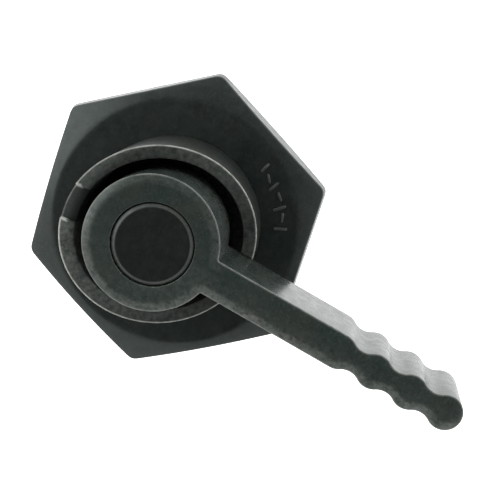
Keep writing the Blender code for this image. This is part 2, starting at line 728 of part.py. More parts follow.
def build():
    clear_scene()
    nylon = (0.035, 0.042, 0.04)
    make_body(material("body_plastic", nylon, 0.45))
    make_bonnet(material("bonnet_plastic", (0.03, 0.034, 0.034), 0.42))
    make_collar(material("collar_plastic", nylon, 0.4))
    make_lever(material("lever_plastic", (0.04, 0.05, 0.047), 0.4))
    make_cap(material("cap_plastic", (0.022, 0.022, 0.022), 0.5))

    steel = (0.62, 0.62, 0.6)
    make_lever_screw(material("screw_steel", steel, 0.3, 1.0))
    washer = material("washer_steel", steel, 0.35, 1.0)
    ring("lever_washer", 3.0 * MM, 7.6 * MM, SCREW_FLOOR + GAP, SCREW_FLOOR + 1.5 * MM, washer)
    make_stop_pin(material("pin_steel", steel, 0.3, 1.0))
    make_lock_screw(material("lock_screw_steel", steel, 0.35, 1.0))
    make_stem(material("stem_plastic", (0.05, 0.055, 0.055), 0.4))
    make_ball(material("ball_plastic", (0.06, 0.065, 0.065), 0.25))

    white = (0.82, 0.82, 0.78)
    make_lower_seat(material("lower_seat_ptfe", white, 0.5))
    make_outlet_seat(material("outlet_seat_ptfe", white, 0.5))
    make_upper_seat(material("upper_seat_ptfe", white, 0.5))
    make_inlet_connector(material("inlet_plastic", nylon, 0.45))
    make_outlet_connector(material("outlet_plastic", nylon, 0.45))
    acetal = (0.75, 0.74, 0.68)
    thrust = material("thrust_washer_acetal", acetal, 0.5)
    washer_top = SHOULDER_CEILING - GAP
    ring("thrust_washer", RUNNING_BORE, SHOULDER_BORE - 0.5 * MM, washer_top - 0.9 * MM, washer_top, thrust)
    bush = material("bush_acetal", acetal, 0.5)
    ring("gland_bush", RUNNING_BORE, BUSH_BORE - GAP, BUSH_FLOOR + GAP, BONNET_TOP - 1.3 * MM, bush)
    slip = material("slip_washer_acetal", acetal, 0.5)
    ring("slip_washer", 10.6 * MM, 15.0 * MM, BONNET_TOP - 0.7 * MM, BONNET_TOP + 0.05 * MM, slip)
    rubber = (0.02, 0.02, 0.02)
    make_connector_ring("inlet_o_ring", material("inlet_ring_rubber", rubber, 0.7), below_ball())
    towards_outlet = radially(-math.pi / 2, BALL_HEIGHT)
    make_connector_ring("outlet_o_ring", material("outlet_ring_rubber", rubber, 0.7), towards_outlet)
    bonnet_ring = material("bonnet_ring_rubber", rubber, 0.7)
    o_ring("bonnet_o_ring", 25.9 * MM, 1.15 * MM, BONNET_RING_HEIGHT, bonnet_ring, 32)
    for level, height in zip(("lower", "upper"), STEM_RING_HEIGHTS):
        seal = material(f"stem_ring_{level}_rubber", rubber, 0.7)
        o_ring(f"stem_o_ring_{level}", 6.3 * MM, 0.85 * MM, height, seal)
    make_drain_plug(material("drain_plug_plastic", nylon, 0.4))
    make_drain_washer(material("drain_washer_rubber", rubber, 0.7))


build()
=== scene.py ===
"""Looks of the seacock valve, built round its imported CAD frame.

Metres, +Z up. Z is the axis of inlet, stem and lever, the lever points along +X and the outlet along -Y.
"""

import json
import math

import bmesh
import bpy
from mathutils import Matrix, Vector


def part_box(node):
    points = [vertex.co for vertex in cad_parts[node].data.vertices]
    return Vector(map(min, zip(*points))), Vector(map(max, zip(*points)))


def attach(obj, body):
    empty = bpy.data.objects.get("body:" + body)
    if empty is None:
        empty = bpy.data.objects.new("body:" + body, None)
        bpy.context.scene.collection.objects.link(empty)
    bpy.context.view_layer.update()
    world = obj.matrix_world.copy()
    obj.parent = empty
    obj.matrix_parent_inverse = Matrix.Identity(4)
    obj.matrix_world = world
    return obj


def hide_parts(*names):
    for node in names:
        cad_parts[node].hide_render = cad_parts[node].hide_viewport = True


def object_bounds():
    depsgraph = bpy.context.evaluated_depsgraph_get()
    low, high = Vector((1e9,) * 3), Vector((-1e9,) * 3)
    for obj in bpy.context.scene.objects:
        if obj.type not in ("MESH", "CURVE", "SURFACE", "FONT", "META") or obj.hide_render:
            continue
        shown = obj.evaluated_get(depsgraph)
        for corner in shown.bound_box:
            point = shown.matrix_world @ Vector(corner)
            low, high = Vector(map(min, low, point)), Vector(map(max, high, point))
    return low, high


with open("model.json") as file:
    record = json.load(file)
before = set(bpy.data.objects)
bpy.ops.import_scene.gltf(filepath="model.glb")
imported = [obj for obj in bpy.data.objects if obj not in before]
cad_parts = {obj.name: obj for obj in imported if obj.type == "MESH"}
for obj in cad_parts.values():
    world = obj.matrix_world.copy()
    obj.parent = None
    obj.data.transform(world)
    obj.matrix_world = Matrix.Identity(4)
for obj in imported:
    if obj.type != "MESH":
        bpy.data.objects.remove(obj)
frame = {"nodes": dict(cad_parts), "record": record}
cad_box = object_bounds()

MM = 0.001
LEVER_LOW, LEVER_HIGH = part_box("lever")
COLLAR_LOW, COLLAR_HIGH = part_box("turning_collar")
BONNET_LOW, BONNET_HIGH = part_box("bonnet_nut")
BODY_LOW, BODY_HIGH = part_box("valve_body")
CONNECTOR_LOW, CONNECTOR_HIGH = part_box("outlet_connector")
DRAIN_LOW, DRAIN_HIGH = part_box("drain_plug")
CAP_LOW, CAP_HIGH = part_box("cap_plug")

PORT_HEIGHT = (CONNECTOR_LOW.z + CONNECTOR_HIGH.z) / 2
QUARTER_TURN = [math.pi / 2 * i / 4 for i in range(5)]


# ---- camera and studio -------------------------------------------------------------------------------------

CAMERA_AZIMUTH = math.radians(184.66)
CAMERA_ELEVATION = math.radians(80.34)
CAMERA_ROLL = math.radians(-154.59)
CAMERA_PLACE = Vector((0.02063, 0.07983, LEVER_HIGH.z + 0.29837))
CAMERA_LENS = 79.2
CAMERA_SHIFT = (-0.0607, -0.1)

# The paper's glow falls from its first strength to its second between these two distances from the axis.
FLOOR_GLOW = (1.2, 0.35)
FLOOR_GLOW_REACH = (0.13, 0.35)
FLOOR_HALF_SIZE = 4.0

# The tent's grey at each height, from level with the object (0) to straight overhead (1).
TENT_GREYS = ((0.0, 0.5), (0.3, 1.0), (0.82, 0.035))
TENT_LEAN = (-0.1, 0.5, 0)
TENT_STRENGTH = 2.1


def set_range(node, low, high, first, last):
    """Makes a Map Range node take low..high to first..last."""
    for socket, value in zip(("From Min", "From Max", "To Min", "To Max"), (low, high, first, last)):
        node.inputs[socket].default_value = value


def add_camera():
    """Looks down the stem from the lever's left, rolled so that the lever points down and right."""
    level = math.cos(CAMERA_ELEVATION)
    back = Vector(
        (math.sin(CAMERA_AZIMUTH) * level, -math.cos(CAMERA_AZIMUTH) * level, math.sin(CAMERA_ELEVATION))
    )
    level_right = Vector((0, 0, 1)).cross(back).normalized()
    level_up = back.cross(level_right)
    turn = Matrix.Rotation(CAMERA_ROLL, 3, back)
    place = Matrix((turn @ level_right, turn @ level_up, back)).transposed().to_4x4()
    place.translation = CAMERA_PLACE
    data = bpy.data.cameras.new("camera")
    data.lens = CAMERA_LENS
    data.shift_x, data.shift_y = CAMERA_SHIFT
    data.clip_start = 0.01
    camera = bpy.data.objects.new("camera", data)
    camera.matrix_world = place
    bpy.context.scene.collection.objects.link(camera)
    bpy.context.scene.camera = camera


def add_floor():
    """A light table: white paper lit from below, most of all under the object."""
    bm = bmesh.new()
    bmesh.ops.create_grid(bm, x_segments=1, y_segments=1, size=FLOOR_HALF_SIZE)
    mesh = bpy.data.meshes.new("floor")
    bm.to_mesh(mesh)
    bm.free()
    floor = bpy.data.objects.new("floor", mesh)
    floor.location.z = cad_box[0].z - 0.1 * MM
    bpy.context.scene.collection.objects.link(floor)
    paper = bpy.data.materials.new("floor_paper")
    paper.use_nodes = True
    shader = paper.node_tree.nodes["Principled BSDF"]
    shader.inputs["Base Color"].default_value = (0.92, 0.92, 0.92, 1)
    shader.inputs["Roughness"].default_value = 0.95
    shader.inputs["Specular IOR Level"].default_value = 0.0
    shader.inputs["Emission Color"].default_value = (1, 1, 1, 1)
    tree = paper.node_tree
    where = tree.nodes.new("ShaderNodeTexCoord")
    reach = tree.nodes.new("ShaderNodeVectorMath")
    reach.operation = "LENGTH"
    tree.links.new(where.outputs["Object"], reach.inputs[0])
    glow = tree.nodes.new("ShaderNodeMapRange")
    set_range(glow, *FLOOR_GLOW_REACH, *FLOOR_GLOW)
    tree.links.new(reach.outputs["Value"], glow.inputs["Value"])
    tree.links.new(glow.outputs[0], shader.inputs["Emission Strength"])
    mesh.materials.append(paper)


def add_softbox(name, direction, distance, size, power):
    """A round soft light that hangs in this direction and faces the object."""
    data = bpy.data.lights.new(name, "AREA")
    data.shape = "DISK"
    data.size = size
    data.energy = power
    target = Vector((0, 0, 0.1))
    light = bpy.data.objects.new(name, data)
    light.location = target + Vector(direction).normalized() * distance
    light.rotation_euler = (target - light.location).to_track_quat("-Z", "Y").to_euler()
    bpy.context.scene.collection.objects.link(light)


def add_light_tent():
    """A white tent with a dark opening overhead, a little brighter where y is positive."""
    world = bpy.data.worlds.new("light_tent")
    world.use_nodes = True
    tree = world.node_tree
    background = tree.nodes["Background"]
    where = tree.nodes.new("ShaderNodeTexCoord")
    split = tree.nodes.new("ShaderNodeSeparateXYZ")
    tree.links.new(where.outputs["Generated"], split.inputs[0])
    height = tree.nodes.new("ShaderNodeValToRGB")
    height.color_ramp.elements.new(0.5)
    for element, (position, grey) in zip(height.color_ramp.elements, TENT_GREYS):
        element.position = position
        element.color = (grey, grey, grey, 1)
    tree.links.new(split.outputs["Z"], height.inputs[0])
    lean = tree.nodes.new("ShaderNodeVectorMath")
    lean.operation = "DOT_PRODUCT"
    lean.inputs[1].default_value = TENT_LEAN
    tree.links.new(where.outputs["Generated"], lean.inputs[0])
    strength = tree.nodes.new("ShaderNodeMath")
    strength.operation = "ADD"
    strength.inputs[1].default_value = TENT_STRENGTH
    tree.links.new(lean.outputs["Value"], strength.inputs[0])
    tree.links.new(height.outputs["Color"], background.inputs["Color"])
    tree.links.new(strength.outputs[0], background.inputs["Strength"])
    bpy.context.scene.world = world


add_camera()
add_floor()
add_light_tent()
add_softbox("softbox_left", (-0.8, -0.1, 0.7), 1.3, 0.9, 4)
bpy.context.scene.view_settings.view_transform = "Standard"


# ---- materials ---------------------------------------------------------------------------------------------

# A grey that paints scuffs and also painted light, and a pale colour that paints worn edges and also painted
# highlights.
SCUFF_AND_LIGHT_COLOUR = (0.145, 0.152, 0.14)
WEAR_AND_HIGHLIGHT_COLOUR = (0.7, 0.71, 0.66)


class Nodes:
    """A material's node tree, with short calls to add and join its nodes."""

    def __init__(self, name):
        self.material = bpy.data.materials.new(name)
        self.material.use_nodes = True
        self.tree = self.material.node_tree
        self.shader = self.tree.nodes["Principled BSDF"]
        self.where = self.tree.nodes.new("ShaderNodeTexCoord").outputs["Object"]

    def join(self, source, target):
        self.tree.links.new(source, target)

    def noise(self, size, detail=4.0, roughness=0.55, stretch=(1, 1, 1)):
        """Noise from 0 to 1 whose features measure about size."""
        mapping = self.tree.nodes.new("ShaderNodeMapping")
        mapping.inputs["Scale"].default_value = [1 / (size * s) for s in stretch]
        self.join(self.where, mapping.inputs["Vector"])
        noise = self.tree.nodes.new("ShaderNodeTexNoise")
        noise.inputs["Scale"].default_value = 1.0
        noise.inputs["Detail"].default_value = detail
        noise.inputs["Roughness"].default_value = roughness
        self.join(mapping.outputs[0], noise.inputs["Vector"])
        return noise.outputs["Fac"]

    def attribute(self, name):
        node = self.tree.nodes.new("ShaderNodeAttribute")
        node.attribute_name = name
        return node.outputs["Fac"]

    def ramp(self, source, low, high, first=0.0, last=1.0):
        """source mapped from low..high to first..last and held there."""
        node = self.tree.nodes.new("ShaderNodeMapRange")
        set_range(node, low, high, first, last)
        self.join(source, node.inputs["Value"])
        return node.outputs[0]

    def math(self, operation, *values):
        node = self.tree.nodes.new("ShaderNodeMath")
        node.operation = operation
        for socket, value in zip(node.inputs, values):
            if isinstance(value, (int, float)):
                socket.default_value = value
            else:
                self.join(value, socket)
        return node.outputs[0]

    def mix(self, factor, first, second):
        """Blend of two colours, each a tuple or a socket."""
        node = self.tree.nodes.new("ShaderNodeMix")
        node.data_type = "RGBA"
        self.join(factor, node.inputs["Factor"])
        for socket, value in ((node.inputs[6], first), (node.inputs[7], second)):
            if isinstance(value, tuple):
                socket.default_value = (*value, 1)
            else:
                self.join(value, socket)
        return node.outputs[2]

    def bump(self, height, distance, strength=1.0, below=None):
        node = self.tree.nodes.new("ShaderNodeBump")
        node.inputs["Strength"].default_value = strength
        node.inputs["Distance"].default_value = distance
        self.join(height, node.inputs["Height"])
        if below is not None:
            self.join(below, node.inputs["Normal"])
        return node.outputs[0]

    def set(self, **values):
        for name, value in values.items():
            socket = self.shader.inputs[name.replace("_", " ")]
            if isinstance(value, (int, float, tuple)):
                socket.default_value = (*value, 1) if isinstance(value, tuple) else value
            else:
                self.join(value, socket)


def moulded_nylon(name, dark, light, roughness):
    """Glass-filled nylon: cloudy greenish black with fine grain, made paler by two vertex attributes: one
    carries worn edges together with painted highlights, the other carries scuffs together with painted light
    on the sides that face the light.
    """
    nodes = Nodes(name)
    clouds = nodes.noise(7 * MM, 5, 0.6)
    brown = (1.3 * light[0], 0.95 * light[1], 0.9 * light[2])
    browned = nodes.ramp(nodes.noise(11 * MM, 6, 0.65), 0.42, 0.66, 0.0, 0.7)
    colour = nodes.mix(browned, nodes.mix(nodes.ramp(clouds, 0.35, 0.68), dark, light), brown)
    pale = tuple(2.5 * c for c in light)
    grain = nodes.noise(0.35 * MM, 3, 0.6)
    flecks = nodes.ramp(nodes.noise(0.6 * MM, 3, 0.7, (1, 2, 1)), 0.52, 0.72, 0.0, 0.5)
    patchy = nodes.ramp(nodes.noise(2.5 * MM, 4, 0.6), 0.3, 0.6, 0.45, 1.0)
    # Painted highlights along edges, mixed in with real wear.
    worn_and_highlit = nodes.math("MULTIPLY", nodes.attribute("wear_and_highlight"), patchy)
    rubs = nodes.ramp(nodes.noise(1.6 * MM, 6, 0.72), 0.36, 0.7)
    # Painted light on the sides that face the light, mixed in with real scuffs.
    scuffed_and_lit = nodes.math("MULTIPLY", nodes.attribute("scuff_and_light"), rubs)
    colour = nodes.mix(scuffed_and_lit, nodes.mix(flecks, colour, pale), SCUFF_AND_LIGHT_COLOUR)
    shine = nodes.ramp(nodes.noise(3 * MM, 5, 0.65), 0.3, 0.7, roughness - 0.06, roughness + 0.07)
    rough = nodes.math("ADD", shine, nodes.math("MULTIPLY", worn_and_highlit, 0.12))
    waves = nodes.bump(nodes.noise(4 * MM, 2, 0.4), 0.03 * MM, 0.5)
    nodes.set(
        Base_Color=nodes.mix(worn_and_highlit, colour, WEAR_AND_HIGHLIGHT_COLOUR),
        Roughness=rough,
        Normal=nodes.bump(grain, 0.011 * MM, 1.0, waves),
        IOR=1.52,
        Specular_Tint=(0.88, 1.0, 0.94),
    )
    return nodes.material


def turned_steel():
    nodes = Nodes("turned_steel")
    rings = nodes.noise(0.25 * MM, 3, 0.6, (8, 8, 1))
    nodes.set(
        Base_Color=nodes.mix(nodes.noise(2 * MM), (0.5, 0.5, 0.48), (0.66, 0.66, 0.64)),
        Roughness=nodes.ramp(rings, 0.3, 0.7, 0.22, 0.42),
        Metallic=1.0,
        Normal=nodes.bump(rings, 0.01 * MM, 0.6),
    )
    return nodes.material


def waxy_plastic(name, first, second):
    nodes = Nodes(name)
    nodes.set(
        Base_Color=nodes.mix(nodes.noise(3 * MM), first, second),
        Roughness=nodes.ramp(nodes.noise(0.8 * MM), 0.3, 0.7, 0.38, 0.55),
        Subsurface_Weight=0.15,
        Subsurface_Scale=MM,
        Normal=nodes.bump(nodes.noise(0.3 * MM), 0.008 * MM, 0.6),
    )
    return nodes.material


def seal_rubber():
    nodes = Nodes("seal_rubber")
    nodes.set(
        Base_Color=nodes.mix(nodes.noise(2 * MM), (0.012, 0.012, 0.012), (0.03, 0.03, 0.03)),
        Roughness=nodes.ramp(nodes.noise(0.6 * MM), 0.3, 0.7, 0.6, 0.8),
        Normal=nodes.bump(nodes.noise(0.2 * MM), 0.01 * MM, 0.7),
    )
    return nodes.material


# Material slot, material, darkest and lightest tone, roughness.
NYLONS = (
    ("lever", "lever_nylon", (0.016, 0.024, 0.0215), (0.025, 0.035, 0.0315), 0.28),
    ("turning_collar", "collar_nylon", (0.010, 0.013, 0.012), (0.018, 0.022, 0.020), 0.36),
    ("bonnet_nut", "bonnet_nylon", (0.0045, 0.007, 0.0072), (0.013, 0.0185, 0.0175), 0.35),
    ("cap_plug", "cap_nylon", (0.004, 0.0055, 0.0055), (0.007, 0.0085, 0.0082), 0.34),
    ("valve_body", "body_nylon", (0.009, 0.012, 0.011), (0.016, 0.020, 0.0185), 0.36),
    ("drain_plug", "drain_nylon", (0.008, 0.011, 0.0102), (0.015, 0.019, 0.0175), 0.34),
    ("stem", "stem_nylon", (0.028, 0.034, 0.033), (0.045, 0.052, 0.05), 0.35),
    ("ball", "ball_nylon", (0.036, 0.042, 0.041), (0.055, 0.062, 0.06), 0.22),
)
FINISHES = {slot: moulded_nylon(*look) for slot, *look in NYLONS}
FINISHES["steel"] = turned_steel()
FINISHES["seat_ptfe"] = waxy_plastic("seat_ptfe", (0.74, 0.74, 0.7), (0.84, 0.84, 0.81))
FINISHES["acetal"] = waxy_plastic("acetal", (0.66, 0.65, 0.59), (0.77, 0.76, 0.7))
FINISHES["seal_rubber"] = seal_rubber()


def dress_frame():
    """Gives every CAD node the material of its slot."""
    for part in frame["record"]["subparts"]:
        mesh = frame["nodes"][part["node"]].data
        mesh.materials.clear()
        mesh.materials.append(FINISHES[part["material_slot"]])


# ---- mesh helpers ------------------------------------------------------------------------------------------


def new_object(name, bm):
    """An object made from bm, with its doubles merged and its faces pointing out."""
    bmesh.ops.remove_doubles(bm, verts=bm.verts, dist=1e-6)
    bmesh.ops.recalc_face_normals(bm, faces=bm.faces)
    mesh = bpy.data.meshes.new(name)
    bm.to_mesh(mesh)
    bm.free()
    obj = bpy.data.objects.new(name, mesh)
    bpy.context.scene.collection.objects.link(obj)
    return obj


def finish_piece(obj, body, slot, node, sharp=34):
    """Shades the piece, gives it its slot's finish, and lets it stand for a CAD node on its body."""
    obj.data.shade_smooth()
    obj.data.set_sharp_from_angle(angle=math.radians(sharp))
    obj.data.materials.append(FINISHES[slot])
    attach(obj, body)
    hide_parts(node)
    return obj


def paint(obj, name, value_at):
    """Stores a number from 0 to 1 on each vertex, which the material reads."""
    layer = obj.data.attributes.new(name, "FLOAT", "POINT")
    layer.data.foreach_set("value", [min(1.0, max(0.0, value_at(v.co))) for v in obj.data.vertices])


def combine(obj, other, operation):
    """Applies an exact Boolean, and removes the other body."""
    modifier = obj.modifiers.new(operation, "BOOLEAN")
    modifier.operation = operation
    modifier.solver = "EXACT"
    modifier.object = other
    apply_modifiers(obj)
    bpy.data.objects.remove(other, do_unlink=True)


def apply_modifiers(obj):
    """Turns what the modifiers make into the object's own mesh."""
    bpy.context.view_layer.update()
    evaluated = obj.evaluated_get(bpy.context.evaluated_depsgraph_get())
    mesh = bpy.data.meshes.new_from_object(evaluated)
    obj.modifiers.clear()
    obj.data = mesh


def smoothstep(value, low, high):
    share = min(1.0, max(0.0, (value - low) / (high - low)))
    return share * share * (3 - 2 * share)


def arc(centre, radius, start, end, steps):
    """Points on an arc, the last one left out."""
    for i in range(steps):
        angle = start + (end - start) * i / steps
        yield centre[0] + radius * math.cos(angle), centre[1] + radius * math.sin(angle)


def rounded(corners, steps=5):
    """Profile through (radius, height, fillet) corners, with an arc of that fillet at each inner corner."""
    points = [corners[0][:2]]
    for before, (radius, height, fillet), after in zip(corners, corners[1:], corners[2:]):
        corner = Vector((radius, height))
        to_before = (Vector(before[:2]) - corner).normalized()
        to_after = (Vector(after[:2]) - corner).normalized()
        half = to_before.angle(to_after) / 2
        if fillet == 0 or half > math.radians(89.5):
            points.append((radius, height))
            continue
        centre = corner + (to_before + to_after).normalized() * fillet / math.sin(half)
        first = corner + to_before * fillet / math.tan(half) - centre
        last = corner + to_after * fillet / math.tan(half) - centre
        swing = first.angle(last)
        for i in range(steps + 1):
            share = i / steps
            spoke = first * math.sin((1 - share) * swing) + last * math.sin(share * swing)
            points.append(tuple(centre + spoke / math.sin(swing)))
    return points + [corners[-1][:2]]


def turned(angles, points_at, ring=False):
    """A body whose section at each angle about Z is points_at(angle), a list of (radius, height[, angle])."""
    bm = bmesh.new()
    rows = []
    for angle in angles:
        row = []
        for point in points_at(angle):
            at = point[2] if len(point) > 2 else angle
            row.append(bm.verts.new((point[0] * math.cos(at), point[0] * math.sin(at), point[1])))
        rows.append(row)
    for here, there in zip(rows, rows[1:] + rows[:1]):
        pairs = list(zip(range(len(here)), range(1, len(here))))
        if ring:
            pairs.append((len(here) - 1, 0))
        for low, high in pairs:
            bm.faces.new((here[low], there[low], there[high], here[high]))
    return bm


def even_angles(steps):
    return [2 * math.pi * i / steps for i in range(steps)]


def lathe(profile, steps=128, ring=False):
    return turned(even_angles(steps), lambda angle: profile, ring)


def loft(loops, close_first=True, close_last=True):
    """A skin over loops of equally many points, and its rows of vertices."""
    bm = bmesh.new()
    rows = [[bm.verts.new(point) for point in loop] for loop in loops]
    for low, high in zip(rows, rows[1:]):
        for i in range(len(low)):
            j = (i + 1) % len(low)
            bm.faces.new((low[i], low[j], high[j], high[i]))
    if close_first:
        bm.faces.new(rows[0])
    if close_last:
        bm.faces.new(rows[-1])
    return bm, rows


def fill_between(bm, outer, inner):
    """Triangles between two level loops, one inside the other."""
    edges = []
    for row in (outer, inner):
        for a, b in zip(row, row[1:] + row[:1]):
            edges.append(bm.edges.get((a, b)) or bm.edges.new((a, b)))
    bmesh.ops.triangle_fill(bm, use_beauty=True, edges=edges)


def circle(radius, height, steps, centre_x=0.0):
    return [(centre_x + x, y, height) for x, y in arc((0, 0), radius, 0, 2 * math.pi, steps)]


def radially(angle, height):
    """Turns a body built along +Z so that it lies along the horizontal direction at this angle and height."""
    outward = Matrix.Rotation(angle, 4, "Z") @ Matrix.Rotation(math.pi / 2, 4, "Y")
    return Matrix.Translation((0, 0, height)) @ outward


def hexagon_angles(turn, per_side=26):
    """Angles all round, closest together at the hexagon's corners."""
    angles = []
    for side in range(6):
        for i in range(per_side):
            share = math.sin(math.pi / 2 * (2 * i / per_side - 1))
            angles.append(turn + side * math.pi / 3 + share * math.pi / 6)
    return angles


def hexagon_reach(angle, across_flats, corner_radius):
    """Distance from the axis to the side of a hexagon that has a flat at angle 0."""
    fold = abs((angle + math.pi / 6) % (math.pi / 3) - math.pi / 6)
    flat = across_flats / 2
    centre = (flat - corner_radius) / math.cos(math.pi / 6)
    if fold <= math.atan2(centre / 2, flat):
        return flat / math.cos(fold)
    off = math.pi / 6 - fold
    return centre * math.cos(off) + math.sqrt(corner_radius**2 - (centre * math.sin(off)) ** 2)


def rim_half(reach, face, slope, edge, soft, run_in):
    """(radius, fall) pairs from a flat face out over a chamfer and round the edge at reach."""
    start = min(face, reach - edge - 0.05 * MM)

    def fall(radius):
        past = radius - start
        return slope * (past + math.sqrt(past * past + soft * soft)) / 2

    radii = [start + share * run_in for share in (-0.9, -0.45, -0.2, 0.0)]
    radii += [start + share * (reach - edge - start) for share in (0.15, 0.35, 0.6, 1.0)]
    points = [(radius, fall(radius)) for radius in radii]
    last = points[-1][1]
    for share in (0.25, 0.5, 0.75, 1.0):
        before, middle, after = (1 - share) ** 2, 2 * share * (1 - share), share**2
        radius = before * (reach - edge) + (middle + after) * reach
        points.append((radius, last + middle * slope * edge + after * (slope + 1) * edge))
    points.append((reach, points[-1][1] + 0.3 * MM))
    return points


def hexagon_side(reach, low, high, face, slope, draft=0.0, edge=0.45 * MM, soft=0.5 * MM, run_in=3 * MM):
    """Section of a turned hexagon's rim, from its lower face out and up to its upper face."""
    upper = rim_half(reach, face, slope, edge, soft, run_in)
    lower = rim_half(reach + draft * (high - low), face, slope, edge, soft, run_in)
    return [(radius, low + fall) for radius, fall in lower] + [
        (radius, high - fall) for radius, fall in reversed(upper)
    ]


def thread(wall, crest, pitch, low, high, steps=40):
    """Internal thread: a helical ridge that fades in and out at its ends."""
    count = int((high - low) / pitch * steps)
    bm = bmesh.new()
    rows = []
    for i in range(count + 1):
        angle = 2 * math.pi * i / steps
        middle = low + pitch * i / steps
        fade = min(1.0, i / (0.7 * steps), (count - i) / (0.7 * steps))
        tip = wall + (crest - wall) * max(0.03, fade)
        section = [
            (wall + 0.2 * MM, middle - 0.47 * pitch),
            (tip, middle - 0.09 * pitch),
            (tip, middle + 0.09 * pitch),
            (wall + 0.2 * MM, middle + 0.47 * pitch),
        ]
        rows.append([bm.verts.new((r * math.cos(angle), r * math.sin(angle), z)) for r, z in section])
    for here, there in zip(rows, rows[1:]):
        for a in range(4):
            b = (a + 1) % 4
            bm.faces.new((here[a], there[a], there[b], here[b]))
    bm.faces.new(rows[0])
    bm.faces.new(rows[-1])
    return bm


def prism(outline, low, high):
    """A straight body on a level (x, y) outline."""
    return loft([[(x, y, z) for x, y in outline] for z in (low, high)])[0]


def square(side):
    half = side / 2
    return [(-half, -half), (half, -half), (half, half), (-half, half)]


def cut_prism(obj, outline, low, high):
    combine(obj, new_object("cutter", prism(outline, low, high)), "DIFFERENCE")


def cut_lathe(obj, profile, matrix, steps=96):
    cutter = new_object("cutter", lathe(profile, steps))
    cutter.data.transform(matrix)
    combine(obj, cutter, "DIFFERENCE")


def round_hole(radius, low, high):
    return [(0, low), (radius, low), (radius, high), (0, high)]


def join(obj, bm):
    """Adds another closed body to the mesh."""
    bmesh.ops.recalc_face_normals(bm, faces=bm.faces)
    bm.from_mesh(obj.data)
    bm.to_mesh(obj.data)
    bm.free()


# ---- lever -------------------------------------------------------------------------------------------------

ARM_HALF_WIDTH = 5.25 * MM
HUB_RADIUS = (LEVER_HIGH.y - LEVER_LOW.y) / 2
HUB_CENTRE = LEVER_LOW.x + HUB_RADIUS
GRIP_PITCH = 11.5 * MM
GRIP_BUMPS = 3
VALLEY_HALF_WIDTH = 3.5 * MM
ARM_FILLET = 0.7 * MM
CROWN_WIDTH = 3.8 * MM
CROWN_END = 3.3 * MM
CROWN_DROP = 0.75 * MM
LEVER_EDGE = 0.16 * MM
LEVER_DEPTH = 24.0 * MM
SKIRT_RADIUS = HUB_RADIUS - MM
CAP_RADIUS = (CAP_HIGH.x - CAP_LOW.x) / 2
CAP_RECESS = CAP_RADIUS + 0.12 * MM
CAP_SEAT = LEVER_HIGH.z - 3.6 * MM
POCKET_RADIUS = 8.4 * MM
SCREW_HOLE = 3.3 * MM
SCREW_FLOOR = LEVER_HIGH.z - 14.0 * MM
SOCKET_SIDE = 10.2 * MM
SOCKET_TOP = LEVER_HIGH.z - 20.0 * MM


def lever_outline(inset):
    """Hub, straight arm and scalloped grip. Every arc keeps its centre, so an inset runs parallel."""
    half = GRIP_PITCH / 2
    depth = ARM_HALF_WIDTH - VALLEY_HALF_WIDTH
    valley_radius = (half**2 + VALLEY_HALF_WIDTH**2 - ARM_HALF_WIDTH**2) / (2 * depth)
    valley_offset = VALLEY_HALF_WIDTH + valley_radius
    lean = math.atan2(valley_offset, half)
    tip = LEVER_HIGH.x - ARM_HALF_WIDTH
    bump = ARM_HALF_WIDTH - inset
    side = list(arc((tip, 0), bump, 0, math.pi - lean, 24))
    for i in range(GRIP_BUMPS):
        valley = (tip - (i + 0.5) * GRIP_PITCH, valley_offset)
        side += arc(valley, valley_radius + inset, -lean, lean - math.pi, 12)
        end = math.pi / 2 if i == GRIP_BUMPS - 1 else math.pi - lean
        side += arc((tip - (i + 1) * GRIP_PITCH, 0), bump, lean, end, 10)
    last_bump = tip - GRIP_BUMPS * GRIP_PITCH
    fillet_offset = ARM_HALF_WIDTH + ARM_FILLET
    fillet_reach = math.sqrt((HUB_RADIUS + ARM_FILLET) ** 2 - fillet_offset**2)
    fillet = (HUB_CENTRE + fillet_reach, fillet_offset)
    straight = 14
    for i in range(straight):
        side.append((last_bump + (fillet[0] - last_bump) * i / straight, bump))
    meeting = math.atan2(fillet_offset, fillet_reach)
    side += arc(fillet, ARM_FILLET + inset, -math.pi / 2, meeting - math.pi, 8)
    side += arc((HUB_CENTRE, 0), HUB_RADIUS - inset, meeting, math.pi, 90)
    rear = (HUB_CENTRE - HUB_RADIUS + inset, 0)
    return side + [rear] + [(x, -y) for x, y in reversed(side[1:])]


def lever_levels(underside):
    """(inset, height) of each loop from the underside's edge up the side to the crown's flat."""
    top = LEVER_HIGH.z
    under_edge = 0.5 * MM
    shoulder = top - CROWN_DROP
    levels = []
    for turn in QUARTER_TURN:
        levels.append((under_edge * (1 - math.sin(turn)), underside + under_edge * (1 - math.cos(turn))))
    levels.append((0.0, shoulder - 2 * LEVER_EDGE))
    for turn in QUARTER_TURN:
        levels.append((LEVER_EDGE * (1 - math.cos(turn)), shoulder - LEVER_EDGE * (1 - math.sin(turn))))
    steps = 9
    for i in range(1, steps + 1):
        inset = LEVER_EDGE + (CROWN_END - LEVER_EDGE) * i / steps
        rest = (CROWN_WIDTH - inset) / (CROWN_WIDTH - LEVER_EDGE)
        levels.append((inset, top - CROWN_DROP * rest**2))
    return levels


def close_with_well(bm, rim, rings):
    """Closes a level loop with a flat face round a round well or post, whose rings end in a disc."""
    rows = [[bm.verts.new(point) for point in points] for points in rings]
    for low, high in zip(rows, rows[1:]):
        for i in range(len(low)):
            j = (i + 1) % len(low)
            bm.faces.new((low[i], low[j], high[j], high[i]))
    bm.faces.new(rows[-1])
    fill_between(bm, rim, rows[0])


